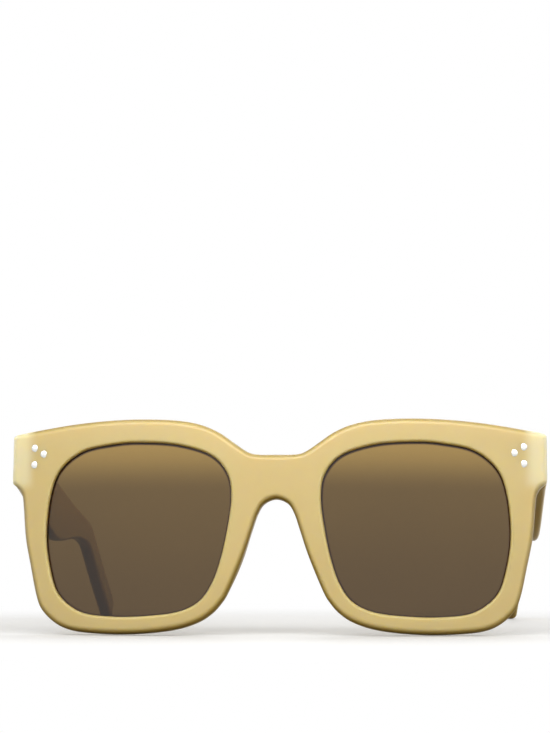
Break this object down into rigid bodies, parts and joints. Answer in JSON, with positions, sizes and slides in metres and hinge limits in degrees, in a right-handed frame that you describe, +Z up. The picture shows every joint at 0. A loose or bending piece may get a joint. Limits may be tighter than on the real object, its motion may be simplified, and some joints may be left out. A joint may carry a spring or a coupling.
{
  "type": "sunglasses",
  "caption": "Square sunglasses with a translucent bent front, tinted lenses, riveted barrel hinges and folding temples.",
  "frame": {"origin": "on the table, centred under the object's box", "axes": "+X to the right seen from the front, +Y from the front back along the temples, +Z up"},
  "size_m": [0.1452, 0.1578, 0.058],
  "materials": {
    "honey_frame": "polished translucent honey plastic",
    "honey_temple": "polished translucent honey plastic",
    "brown_lens": "smooth brown tint",
    "hinge_steel": "satin",
    "screw_steel": "bright",
    "rivet_silver": "bright"
  },
  "bodies": {
    "front": {"front_frame": "honey_frame", "lens_left": "brown_lens", "lens_right": "brown_lens", "front_hinge_leaf_left": "hinge_steel", "front_hinge_leaf_right": "hinge_steel", "hinge_screw_left": "screw_steel", "hinge_screw_right": "screw_steel", "front_rivets_left": "rivet_silver", "front_rivets_right": "rivet_silver"},
    "left_arm": {"temple_left": "honey_temple", "temple_hinge_leaf_left": "hinge_steel", "temple_rivets_left": "rivet_silver"},
    "right_arm": {"temple_right": "honey_temple", "temple_hinge_leaf_right": "hinge_steel", "temple_rivets_right": "rivet_silver"}
  },
  "joints": [
    {"name": "left_temple_fold", "type": "hinge", "parent": "front", "child": "left_arm", "pos_m": [-0.0663, -0.06029, 0.04573], "axis": [0, -0.1011, -0.9949], "range_deg": [0, 80]},
    {"name": "right_temple_fold", "type": "hinge", "parent": "front", "child": "right_arm", "pos_m": [0.0663, -0.06029, 0.04573], "axis": [0, 0.1011, 0.9949], "range_deg": [0, 90]}
  ]
}
